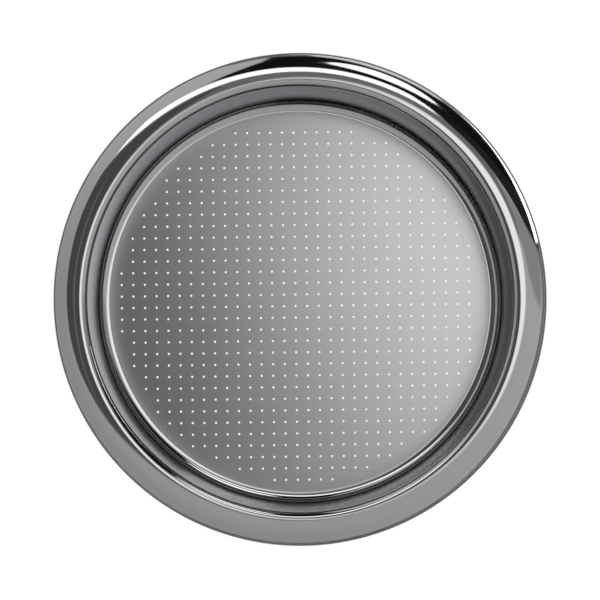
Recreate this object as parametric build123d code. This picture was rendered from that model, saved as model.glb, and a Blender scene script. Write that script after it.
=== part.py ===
from build123d import *
import math
import os

# An espresso filter basket, deep drawn from one blank of stainless steel sheet: a flat base punched
# with a grid of fine holes, a straight wall, and a rim that is rolled outward and down.
# Millimetres, +Z up. The origin is on the basket's axis, at the underside of its base.

# Sheet and overall sizes
sheet = 0.5  # thickness of the steel, the same all over
height = 24.5  # from the underside of the base to the crown of the rim
bore_diameter = 53.75  # inside the wall, where the coffee is tamped
rim_diameter = 62.5  # over the widest line of the lip

# Bends, measured on the side of the sheet that faces up and in
base_fillet = 1.17  # up into the wall
base_ease = 2.7  # the gentler radius by which the base rises into that fillet
base_ease_turn = 9  # degrees of the bend that it takes
shoulder_radius = 0.87  # from the wall over towards the crown of the rim
crest_ease = 3.2  # the gentler radius by which the shoulder comes level at the crown
crest_ease_turn = 6  # degrees of the bend that it takes
lip_radius = 0.95  # the tight roll at the lip
rim_drop = 1.7  # from the crown down to the widest line of the lip
lip_skirt = 0.6  # straight edge left below that line

# Punched holes, on a square grid that is trimmed to a circle
hole_diameter = 0.3
hole_pitch = 1.55
field_margin = 1.215  # flat metal from the base's bend in to the circle that the holes' centres lie in
field_shift_x = -0.07  # of that circle from the axis, which the punching leaves a little off centre
field_shift_y = -0.06
grid_shift = -0.61  # of the grid's middle hole from the axis, both ways


def eased_bend(tight, gentle, gentle_turn):
    """How far a quarter turn carries level and upright, where its last degrees on the level are gentler."""
    ease = math.radians(gentle_turn)
    level = tight * (1 - math.sin(ease)) + gentle * math.sin(ease)
    upright = tight * math.cos(ease) + gentle * (1 - math.cos(ease))
    return level, upright


def flat_radius():
    """Of the flat of the base, out to where it begins to rise."""
    return bore_diameter / 2 - eased_bend(base_fillet, base_ease, base_ease_turn)[0]


def upper_side():
    """The sheet's upper side from the axis out to the lip's edge, as one tangent line in X and height."""
    bore_radius = bore_diameter / 2
    crown_inset, crown_rise = eased_bend(shoulder_radius, crest_ease, crest_ease_turn)
    reach = rim_diameter / 2 - bore_radius - crown_inset
    # The crown's arc starts level and runs tangent into the lip's tighter arc
    crown_arc = (reach**2 - 2 * reach * lip_radius + rim_drop**2) / (2 * (rim_drop - lip_radius))
    crown_turn = math.degrees(math.atan2(reach - lip_radius, crown_arc - rim_drop))

    base = Line((0, sheet), (flat_radius(), sheet))
    rise = JernArc(base @ 1, base % 1, base_ease, base_ease_turn)
    corner = JernArc(rise @ 1, rise % 1, base_fillet, 90 - base_ease_turn)
    wall = Line(corner @ 1, (bore_radius, height - crown_rise))
    shoulder = JernArc(wall @ 1, wall % 1, shoulder_radius, crest_ease_turn - 90)
    crest = JernArc(shoulder @ 1, shoulder % 1, crest_ease, -crest_ease_turn)
    crown = JernArc(crest @ 1, crest % 1, crown_arc, -crown_turn)
    lip = JernArc(crown @ 1, crown % 1, lip_radius, crown_turn - 90)
    skirt = Line(lip @ 1, lip @ 1 - (0, lip_skirt))
    return base + rise + corner + wall + shoulder + crest + crown + lip + skirt


def drawn_cup():
    """The cup before punching: the sheet's section turned about the axis."""
    section = make_face(offset(upper_side(), sheet, side=Side.RIGHT, closed=True).edges())
    return revolve(Plane.XZ * section, Axis.Z)


def hole_centres():
    """Centres of the grid's holes that lie inside the field's circle."""
    field_radius = flat_radius() - field_margin
    field_centre = Vector(field_shift_x, field_shift_y)
    grid_middle = Vector(grid_shift, grid_shift)
    rows_out = math.ceil((field_radius + (field_centre - grid_middle).length) / hole_pitch)
    across = 2 * rows_out + 1
    grid = [spot.position + grid_middle for spot in GridLocations(hole_pitch, hole_pitch, across, across)]
    return [spot for spot in grid if (spot - field_centre).length <= field_radius]


def punches():
    """One straight round punch for each hole, standing out of both sides of the base."""
    punch = extrude(Circle(hole_diameter / 2), sheet, both=True)
    return [Pos(centre.X, centre.Y, sheet / 2) * punch for centre in hole_centres()]


filter_basket = drawn_cup() - punches()

os.makedirs("parts", exist_ok=True)
export_step(filter_basket, "parts/filter_basket.step")
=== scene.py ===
import math

import bpy
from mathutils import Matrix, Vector
from mathutils.geometry import delaunay_2d_cdt


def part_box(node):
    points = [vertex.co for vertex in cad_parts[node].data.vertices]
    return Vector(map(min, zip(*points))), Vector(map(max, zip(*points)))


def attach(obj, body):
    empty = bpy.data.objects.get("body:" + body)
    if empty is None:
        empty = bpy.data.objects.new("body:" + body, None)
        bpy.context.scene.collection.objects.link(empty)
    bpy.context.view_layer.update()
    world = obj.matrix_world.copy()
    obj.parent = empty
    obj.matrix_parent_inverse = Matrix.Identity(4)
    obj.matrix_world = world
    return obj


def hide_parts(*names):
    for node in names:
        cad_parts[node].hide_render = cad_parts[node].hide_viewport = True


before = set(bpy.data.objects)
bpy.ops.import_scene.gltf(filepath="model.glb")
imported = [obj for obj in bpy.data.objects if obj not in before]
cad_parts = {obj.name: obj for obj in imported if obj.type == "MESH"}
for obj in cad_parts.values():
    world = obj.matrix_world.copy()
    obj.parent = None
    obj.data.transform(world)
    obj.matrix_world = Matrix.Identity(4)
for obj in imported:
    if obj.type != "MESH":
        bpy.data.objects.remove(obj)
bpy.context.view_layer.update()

# The filter basket: one cup, deep drawn from a blank of 0.5 mm stainless steel sheet. Its base is
# punched with a grid of fine holes, and its mouth is rolled outward and down to a lip.
mm = 0.001
_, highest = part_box("filter_basket")
height = highest.z
rim_radius = highest.x
sheet = 0.5 * mm
bore_radius = 26.875 * mm
base_fillet = 1.17 * mm
base_ease = 2.7 * mm  # the gentler radius by which the base rises into its fillet
base_ease_turn = math.radians(9)
shoulder_radius = 0.87 * mm
crest_ease = 3.2 * mm  # the gentler radius by which the shoulder comes level at the crown
crest_ease_turn = math.radians(6)
lip_radius = 0.95 * mm
rim_drop = 1.7 * mm  # from the crown of the rim down to the widest line of the lip
lip_skirt = 0.6 * mm
arc_step = math.radians(4)  # of a bend between two rings of the mesh
hold = 0.05 * mm  # rings this close to a bend keep what is straight beside it from shading as bent
around = 256  # faces round each ring


def straight(line, length, finish):
    """Carries the section on by a straight length. Each point holds its radius and height, the way that
    the section heads there, and the finish up to it."""
    r, z, heading, _ = line[-1]
    for along in (hold, length - hold, length):
        line.append((r + along * math.cos(heading), z + along * math.sin(heading), heading, finish))


def bend(line, radius, turn, finish):
    """Carries the section on by an arc tangent to what is before it, to the left for a positive turn."""
    r, z, heading, _ = line[-1]
    centre_left = math.copysign(radius, turn)
    steps = math.ceil(abs(turn) / arc_step)
    for step in range(1, steps + 1):
        now = heading + turn * step / steps
        line.append((
            r + centre_left * (math.sin(now) - math.sin(heading)),
            z + centre_left * (math.cos(heading) - math.cos(now)),
            now,
            finish,
        ))


def eased_bend(tight, gentle, gentle_turn):
    """How far a quarter turn carries level and upright, where its last part on the level is gentler."""
    level = tight * (1 - math.sin(gentle_turn)) + gentle * math.sin(gentle_turn)
    upright = tight * math.cos(gentle_turn) + gentle * (1 - math.cos(gentle_turn))
    return level, upright


# The sheet's upper side, from the flat of the base up the wall and over the rim to the lip's edge
base_reach, base_rise = eased_bend(base_fillet, base_ease, base_ease_turn)
crown_inset, crown_rise = eased_bend(shoulder_radius, crest_ease, crest_ease_turn)
flat_radius = bore_radius - base_reach
reach = rim_radius - bore_radius - crown_inset
crown_arc = (reach**2 - 2 * reach * lip_radius + rim_drop**2) / (2 * (rim_drop - lip_radius))
crown_turn = math.atan2(reach - lip_radius, crown_arc - rim_drop)
wall_height = height - crown_rise - base_rise - sheet
quarter = math.pi / 2
polished_turn = math.radians(44)  # how far over the rim is polished, before the lip's rougher edge with its painted dark reflection
satin, drawn, polished, painted_dark_lip = range(4)  # places of the finishes in the basket's material list

upper = [(flat_radius - hold, sheet, 0.0, satin), (flat_radius, sheet, 0.0, satin)]
bend(upper, base_ease, base_ease_turn, polished)
bend(upper, base_fillet, quarter - base_ease_turn, polished)
straight(upper, wall_height, drawn)
bend(upper, shoulder_radius, crest_ease_turn - quarter, polished)
bend(upper, crest_ease, -crest_ease_turn, polished)
bend(upper, crown_arc, -crown_turn, polished)
bend(upper, lip_radius, crown_turn - polished_turn, polished)
# From here down to its cut end the lip takes the painted dark reflection
bend(upper, lip_radius, polished_turn - quarter, painted_dark_lip)
straight(upper, lip_skirt, painted_dark_lip)

# The lower side runs a sheet's thickness to the right of the upper one, and back to the base
lower = [
    (r + sheet * math.sin(heading), z - sheet * math.cos(heading), heading, finish)
    for r, z, heading, finish in upper
]
section = upper + lower[::-1]

# The holes: round, in a square grid that is trimmed to a circle. The punch leaves the grid's middle
# hole, and the circle, a little off the basket's axis.
hole_diameter = 0.3 * mm
hole_pitch = 1.55 * mm
hole_sides = 16
field_radius = 24.25 * mm
field_centre = Vector((-0.07, -0.06)) * mm
grid_middle = Vector((-0.61, -0.61)) * mm
rows = range(-math.ceil(field_radius / hole_pitch) - 1, math.ceil(field_radius / hole_pitch) + 2)
grid = [grid_middle + hole_pitch * Vector((east, north)) for east in rows for north in rows]
holes = [spot for spot in grid if (spot - field_centre).length <= field_radius]


def circle(centre, radius, sides):
    """Points round a circle in the plane of the base, counter-clockwise from +X."""
    turns = [2 * math.pi * side / sides for side in range(sides)]
    return [centre + radius * Vector((math.cos(turn), math.sin(turn))) for turn in turns]


def loop(first, count):
    """The edges of a closed ring of points."""
    return [(first + side, first + (side + 1) % count) for side in range(count)]


# The flat of the base is cut into triangles between its rim and the holes, once for both its sides.
# The points of its rim come first, and then those of each hole's ring.
axis = Vector((0.0, 0.0))
outline = circle(axis, section[0][0], around)
borders = loop(0, around)
for hole in holes:
    borders += loop(len(outline), hole_sides)
    outline += circle(hole, hole_diameter / 2, hole_sides)
inside_borders = 1
same_point = 1e-9  # metres
triangles = delaunay_2d_cdt(outline, borders, [], inside_borders, same_point)[2]


def is_metal(triangle):
    """False for a triangle that lies inside a hole, with all three points on the hole's ring."""
    return min(triangle) < around or len({(point - around) // hole_sides for point in triangle}) > 1


triangles = [triangle for triangle in triangles if is_metal(triangle)]

# Points: the rings of the section, then the holes' rings on the upper side and on the lower side
points = []
for r, z, _, _ in section:
    points += [(*spot, z) for spot in circle(axis, r, around)]
first_upper = len(points)
points += [(*spot, sheet) for spot in outline[around:]]
first_lower = len(points)
points += [(*spot, 0.0) for spot in outline[around:]]
last_ring = (len(section) - 1) * around

# Faces: the section's, with the finish of the side that they are on, then the base's flat and the
# walls of the holes
faces = []
finishes = []
for ring in range(len(section) - 1):
    for start, end in loop(ring * around, around):
        faces.append((start, end, end + around, start + around))
        finishes.append(section[ring + 1][3] if ring < len(upper) else section[ring][3])
for a, b, c in triangles:
    on_top = [p if p < around else p - around + first_upper for p in (a, b, c)]
    below = [p + last_ring if p < around else p - around + first_lower for p in (c, b, a)]
    faces += [on_top, below]
    finishes += [satin, satin]
for hole in range(len(holes)):
    for start, end in loop(first_upper + hole * hole_sides, hole_sides):
        faces.append((end, start, start - first_upper + first_lower, end - first_upper + first_lower))
        finishes.append(satin)

mesh = bpy.data.meshes.new("drawn_and_punched_cup")
mesh.from_pydata(points, [], faces)
mesh.polygons.foreach_set("material_index", finishes)
mesh.polygons.foreach_set("use_smooth", [True] * len(faces))
mesh.set_sharp_from_angle(angle=math.radians(40))  # a hole's mouth and the lip's cut edge stay crisp
cup = bpy.data.objects.new("drawn_cup", mesh)
bpy.context.scene.collection.objects.link(cup)


def linear(hex_colour):
    """An sRGB colour written #RRGGBB as linear red, green, blue and alpha."""
    levels = [int(hex_colour[k : k + 2], 16) / 255 for k in (1, 3, 5)]
    return [v / 12.92 if v <= 0.04045 else ((v + 0.055) / 1.055) ** 2.4 for v in levels] + [1.0]


def add(tree, kind, inputs=(), **settings):
    """Adds a node with its settings. Each input is a value, or another node's output to link from."""
    node = tree.nodes.new("ShaderNode" + kind)
    for name, value in settings.items():
        setattr(node, name, value)
    for name, value in dict(inputs).items():
        if isinstance(value, bpy.types.NodeSocket):
            tree.links.new(value, node.inputs[name])
        else:
            node.inputs[name].default_value = value
    return node


def finish_of(name):
    """A new material in the basket's list, with its nodes cleared."""
    material = bpy.data.materials.new(name)
    material.use_nodes = True
    material.node_tree.nodes.clear()
    cup.data.materials.append(material)
    return material.node_tree


# Satin stainless steel: the punched base keeps the surface that the sheet was rolled with. It mirrors
# its surroundings as soft light and dark, with faint clouds where it was wiped clean.
tree = finish_of("satin_stainless_steel")
place = add(tree, "TexCoord").outputs["Object"]
clouds = add(tree, "TexNoise", {"Vector": place, "Scale": 1 / (9 * mm), "Detail": 3.0})
gloss = add(tree, "MapRange", {"Value": clouds.outputs["Fac"], "To Min": 0.15, "To Max": 0.175})
steel = add(tree, "BsdfPrincipled", {
    "Base Color": linear("#BCBCBD"),
    "Metallic": 1.0,
    "Roughness": gloss.outputs["Result"],
})
add(tree, "OutputMaterial", {"Surface": steel.outputs["BSDF"]})

# Drawn stainless steel: the die leaves fine lines straight up the wall. They spread each light
# sideways, and they leave the wall a shade duller and cooler than the rim. Real ones are too fine to
# show, so these are 0.4 mm apart.
tree = finish_of("drawn_stainless_steel")
place = add(tree, "TexCoord").outputs["Object"]
stretched = add(tree, "VectorMath", {0: place, 1: (1.0, 1.0, 0.02)}, operation="MULTIPLY")
lines = add(tree, "TexNoise", {
    "Vector": stretched.outputs["Vector"],
    "Scale": 1 / (0.4 * mm),
    "Detail": 2.0,
})
relief = add(tree, "Bump", {"Height": lines.outputs["Fac"], "Strength": 0.2, "Distance": 0.01 * mm})
gloss = add(tree, "MapRange", {"Value": lines.outputs["Fac"], "To Min": 0.11, "To Max": 0.15})
steel = add(tree, "BsdfPrincipled", {
    "Base Color": linear("#BCBDC1"),
    "Specular Tint": linear("#D6D8DC"),
    "Metallic": 1.0,
    "Roughness": gloss.outputs["Result"],
    "Normal": relief.outputs["Normal"],
})
add(tree, "OutputMaterial", {"Surface": steel.outputs["BSDF"]})

# Polished stainless steel: the bends and the rim are burnished bright as they are rolled. They mirror
# the lamps and cards with crisp edges.
tree = finish_of("polished_stainless_steel")
place = add(tree, "TexCoord").outputs["Object"]
marks = add(tree, "TexNoise", {"Vector": place, "Scale": 1 / (3 * mm), "Detail": 2.0})
gloss = add(tree, "MapRange", {"Value": marks.outputs["Fac"], "To Min": 0.05, "To Max": 0.09})
steel = add(tree, "BsdfPrincipled", {
    "Base Color": linear("#C4C4C4"),
    "Metallic": 1.0,
    "Roughness": gloss.outputs["Result"],
})
add(tree, "OutputMaterial", {"Surface": steel.outputs["BSDF"]})

# Lip steel painted dark: from its turn down to its cut end the lip is rougher. Its colour is a painted
# dark reflection, much darker than the rest, that stands in for a dark room mirrored there. It draws the
# thin dark line round the rim.
tree = finish_of("lip_steel_painted_dark")
# The dark base colour is painted reflection, not the steel's own colour
steel = add(tree, "BsdfPrincipled", {"Base Color": linear("#525252"), "Metallic": 1.0, "Roughness": 0.25})
add(tree, "OutputMaterial", {"Surface": steel.outputs["BSDF"]})

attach(cup, "root")
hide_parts("filter_basket")

# The floor: a pale sheet that the basket stands on. Right round the basket it shows as plain white,
# to the camera and in the steel alike, and it falls off to the grey of the room further out.
floor_reach = 6.0
gap_under_base = 0.1 * mm
floor_mesh = bpy.data.meshes.new("pale_floor")
corners = [(east * floor_reach, north * floor_reach, 0) for east in (-1, 1) for north in (-1, 1)]
floor_mesh.from_pydata(corners, [], [(0, 2, 3, 1)])
floor = bpy.data.objects.new("pale_floor", floor_mesh)
floor.location.z = -gap_under_base
bpy.context.scene.collection.objects.link(floor)
paper = bpy.data.materials.new("pale_paper")
paper.use_nodes = True
tree = paper.node_tree
tree.nodes.clear()
place = add(tree, "TexCoord").outputs["Object"]
away = add(tree, "VectorMath", {0: place}, operation="LENGTH")
near = add(tree, "MapRange", {
    "Value": away.outputs["Value"],
    "From Min": 0.25,
    "From Max": 2.5,
    "To Min": 0.9,
    "To Max": 0.0,
}, interpolation_type="SMOOTHSTEP")
rays = add(tree, "LightPath")
seen = rays.outputs["Is Camera Ray"]
for kind in ("Is Glossy Ray", "Is Transmission Ray"):
    seen = add(tree, "Math", {0: seen, 1: rays.outputs[kind]}, operation="MAXIMUM").outputs["Value"]
share = add(tree, "Math", {0: seen, 1: near.outputs["Result"]}, operation="MULTIPLY")
matt = add(tree, "BsdfDiffuse", {"Color": linear("#F2F2F2")})
white = add(tree, "Emission", {"Color": linear("#FFFFFF"), "Strength": 1.0})
surface = add(tree, "MixShader", {
    0: share.outputs["Value"], 1: matt.outputs["BSDF"], 2: white.outputs["Emission"],
})
add(tree, "OutputMaterial", {"Surface": surface.outputs["Shader"]})
floor_mesh.materials.append(paper)

# The room's light: grey all round, brighter towards the east where the windows are, to the north
# where the lamps hang, and a little overhead
world = bpy.data.worlds.new("studio")
bpy.context.scene.world = world
world.use_nodes = True
tree = world.node_tree
tree.nodes.clear()
way = add(tree, "SeparateXYZ", {"Vector": add(tree, "TexCoord").outputs["Generated"]})
east = add(tree, "MapRange", {"Value": way.outputs["X"], "From Max": 0.9, "To Min": 0.44, "To Max": 0.62})
north = add(tree, "MapRange", {"Value": way.outputs["Y"], "From Min": 0.1, "From Max": 0.8, "To Max": 0.2})
overhead = add(tree, "MapRange", {"Value": way.outputs["Z"], "From Min": 0.6, "To Max": 0.08})
level = add(tree, "Math", {0: east.outputs["Result"], 1: north.outputs["Result"]}, operation="ADD")
level = add(tree, "Math", {0: level.outputs["Value"], 1: overhead.outputs["Result"]}, operation="ADD")
light = add(tree, "Background", {"Color": linear("#FFFFFF"), "Strength": level.outputs["Value"]})
add(tree, "OutputWorld", {"Surface": light.outputs["Background"]})

# A broad lamp overhead brings the light on the paper up to its plain level. It casts the basket's
# soft shadow, and polished steel doesn't mirror it.
lamp_data = bpy.data.lights.new("overhead_lamp", "AREA")
lamp_data.size = 3.0
lamp_data.energy = 125.0
lamp = bpy.data.objects.new("overhead_lamp", lamp_data)
lamp.location.z = 2.9
lamp.visible_glossy = False
lamp.visible_camera = False
bpy.context.scene.collection.objects.link(lamp)

# The steel mirrors lamps and cards that the camera doesn't see. The corner of one is given as degrees
# round from east, and degrees down from the zenith. Nearer ones hide those behind them, so each set
# has a distance of its own, in metres.
lamps = 2.4
strip = 2.8
dark_cards = 3.0
grey_cards = 3.2
black_card = 3.5
walls = 3.9
foot = 92.0  # where cards and walls that reach down to the floor end, just under the horizon


def way_to(azimuth, zenith):
    """A vector one unit long."""
    a, z = math.radians(azimuth), math.radians(zenith)
    return Vector((math.sin(z) * math.cos(a), math.sin(z) * math.sin(a), math.cos(z)))


def far_off(distance, *corners):
    """Corners in the room, at a distance from the basket and as it sees them."""
    return [distance * way_to(azimuth, zenith) for azimuth, zenith in corners]


def oval(distance, azimuth, zenith, across, along, sides=32):
    """Points round an oval in the room, given its middle and its reach in degrees sideways and down."""
    middle = way_to(azimuth, zenith)
    sideways = way_to(azimuth + 90, 90) * math.tan(math.radians(across))
    down = way_to(azimuth, zenith + 90) * math.tan(math.radians(along))
    turns = [2 * math.pi * side / sides for side in range(sides)]
    return [distance * (middle + sideways * math.cos(t) + down * math.sin(t)).normalized() for t in turns]


def glowing(name, points, faces, covers, glow):
    """A lamp or card of even glow, where 1 is white. It is solid where its cover is 1 and clear at 0."""
    mesh = bpy.data.meshes.new(name)
    mesh.from_pydata(points, [], faces)
    cover = mesh.attributes.new("cover", "FLOAT", "POINT")
    cover.data.foreach_set("value", covers)
    card = bpy.data.objects.new(name, mesh)
    bpy.context.scene.collection.objects.link(card)
    card.visible_camera = False
    card.visible_diffuse = False
    card.visible_shadow = False
    material = bpy.data.materials.new(name)
    material.use_nodes = True
    tree = material.node_tree
    tree.nodes.clear()
    cover = add(tree, "Attribute", attribute_name="cover")
    share = add(tree, "MapRange", {"Value": cover.outputs["Fac"]}, interpolation_type="SMOOTHSTEP")
    clear = add(tree, "BsdfTransparent")
    light = add(tree, "Emission", {"Color": linear("#FFFFFF"), "Strength": glow})
    surface = add(tree, "MixShader", {
        0: share.outputs["Result"], 1: clear.outputs["BSDF"], 2: light.outputs["Emission"],
    })
    add(tree, "OutputMaterial", {"Surface": surface.outputs["Shader"]})
    mesh.materials.append(material)


def panel(name, corners, glow, soft=0.03):
    """A flat lamp or card between its corners. Its edge fades over a share of its size."""
    middle = sum(corners, Vector()) / len(corners)
    inner = [middle.lerp(corner, 1 - soft) for corner in corners]
    outer = [middle.lerp(corner, 1 + soft) for corner in corners]
    count = len(corners)
    fan = [(0, start + 1, end + 1) for start, end in loop(0, count)]
    fade = [(start + 1, end + 1, end + 1 + count, start + 1 + count) for start, end in loop(0, count)]
    glowing(name, [middle] + inner + outer, fan + fade, [1.0] * (1 + count) + [0.0] * count, glow)


def bent_card(name, distance, *top, glow, soft=3.0):
    """A card bent round the basket, at a distance from the roll of its lip. The corners of its top are
    given as the roll sees them. It fades over some degrees along its edge."""
    roll = Vector((0.0, 0.0, height - rim_drop / 2))
    out = rim_radius - lip_radius / 2 + distance
    first, last = top[0][0], top[-1][0]
    bottom = 98.0  # as the roll sees it, just under the lip's level
    bottom_soft = 3.0
    steps = 12  # from one corner to the next
    rows = 4
    points = []
    covers = []
    for (start, start_top), (end, end_top) in zip(top, top[1:]):
        for step in range(steps + 1):
            azimuth = start + (end - start) * step / steps
            highest = start_top + (end_top - start_top) * step / steps
            inside = min(1.0, (azimuth - first) / soft, (last - azimuth) / soft)
            zeniths = (highest, highest + soft, bottom - bottom_soft, bottom)
            for zenith, cover in zip(zeniths, (0.0, inside, inside, 0.0)):
                rise = distance / math.tan(math.radians(zenith))
                points.append(roll + out * way_to(azimuth, 90) + Vector((0.0, 0.0, rise)))
                covers.append(cover)
    under = [point for point in range(len(points) - rows) if point % rows < rows - 1]
    faces = [(point, point + 1, point + 1 + rows, point + rows) for point in under]
    glowing(name, points, faces, covers, glow)


# Lamps to the north, and a small soft one near the zenith
panel("strip_lamp", far_off(
    lamps,
    (128.7, 46.3), (139.5, 42.5), (139.5, 40.7), (124.4, 30.3), (98.2, 23.7), (65.6, 24.5), (54.5, 28.0),
    (54.5, 32.5), (61.5, 37.0), (95.0, 36.7),
), glow=1.9)
panel("round_lamp", oval(lamps, 68.8, 55.4, across=11.6, along=9.0), glow=1.9)
panel("small_lamp", oval(lamps, 25.0, 9.8, across=7.2, along=9.3), glow=1.4, soft=0.3)

# Cards behind them: dark ones round the camera and to the north, and paler ones to the east
panel("camera_card", far_off(
    dark_cards,
    (292.0, 3.5), (26.0, 0.4), (121.0, 3.5), (128.7, 5.5), (108.8, 17.4), (106.9, 22.7), (139.2, 38.2),
    (145.7, 43.8), (157.4, 42.7), (175.3, 40.2), (187.4, 38.1), (196.2, 34.2), (206.0, 25.5),
    (213.0, 18.7), (219.0, 12.0), (226.0, 6.5), (255.0, 4.0),
), glow=0.09, soft=0.06)
panel("grey_strip", far_off(
    strip,
    (146.0, 24.0), (160.0, 21.5), (175.0, 20.5), (200.0, 22.0), (205.0, 17.0), (180.0, 14.5),
    (160.0, 16.5), (148.0, 19.5),
), glow=0.17, soft=0.25)
panel("dim_card", far_off(
    grey_cards,
    (128.7, 6.3), (108.8, 17.4), (106.9, 24.0), (54.0, 28.0), (36.0, 33.0), (17.0, 30.0), (17.0, 20.0),
), glow=0.22)
panel("east_card", far_off(
    grey_cards,
    (35.5, 28.3), (12.0, 69.5), (357.9, 64.1), (0.0, 49.3), (7.0, 29.8), (17.4, 24.1),
), glow=0.37, soft=0.05)
panel("black_card", far_off(
    black_card,
    (98.4, 63.1), (103.8, 52.4), (112.3, 43.3), (95.0, 33.0), (58.0, 31.0), (48.0, 27.9), (35.0, 32.1),
    (26.1, 40.3), (18.1, 51.9), (12.0, 69.5), (12.0, foot), (94.0, foot),
), glow=0.006)
panel("smoky_card", far_off(
    dark_cards,
    (16.0, 60.0), (22.0, 48.0), (35.0, 34.0), (48.0, 34.0), (50.0, 55.0), (44.0, 75.0), (15.0, 75.0),
), glow=0.02, soft=0.15)

# Low round the room from the east to the south-west, the walls, with a dark screen and post before them
panel("south_east_wall", far_off(
    walls,
    (305.0, 72.0), (330.0, 69.0), (345.0, 67.5), (358.0, 69.5), (373.0, 69.5), (373.0, foot),
    (340.0, foot), (305.0, foot),
), glow=0.25)
panel("south_wall", far_off(
    walls,
    (240.0, 75.0), (262.0, 74.0), (285.0, 73.0), (306.0, 72.0), (306.0, foot), (272.0, foot),
    (240.0, foot),
), glow=0.18)
panel("south_west_wall", far_off(
    walls,
    (205.0, 80.0), (226.0, 76.5), (241.0, 75.0), (241.0, foot), (205.0, foot),
), glow=0.28)
panel("south_screen", far_off(
    dark_cards,
    (244.0, 79.0), (256.0, 79.0), (256.0, foot), (244.0, foot),
), glow=0.09, soft=0.12)
panel("south_post", far_off(
    dark_cards,
    (277.0, 78.0), (290.0, 78.0), (290.0, foot), (277.0, foot),
), glow=0.08, soft=0.12)

# Cards near the basket to the north-east light the edge of the rim there. They are so low that only
# the outer half of the rim mirrors them, and their feet are hardly lower than the lip.
bent_card(
    "bright_card", 20 * mm,
    (12.5, 69.0), (26.0, 70.5), (37.0, 75.5), (49.0, 90.0),
    glow=4.0, soft=1.5,
)
bent_card("low_card", 20 * mm, (45.0, 90.0), (94.0, 90.0), glow=3.0, soft=4.0)
bent_card("pale_card", 21 * mm, (53.0, 71.5), (72.0, 69.5), (88.0, 73.5), glow=0.95)
bent_card("grey_card", 22 * mm, (36.0, 72.5), (54.0, 72.5), (90.0, 72.5), (108.0, 76.0), glow=0.22)

# The camera looks down into the basket from just south of straight above
camera = bpy.data.objects.new("camera", bpy.data.cameras.new("camera"))
camera.data.lens = 186.1
camera.location = (-0.078 * mm, -5.299 * mm, 415.82 * mm)
camera.rotation_euler = (math.radians(0.757), 0.0, math.radians(-0.727))
camera.data.clip_start = 0.02
camera.data.clip_end = 50.0
bpy.context.scene.collection.objects.link(camera)
bpy.context.scene.camera = camera

bpy.context.scene.view_settings.view_transform = "Standard"
bpy.context.scene.cycles.use_denoising = True
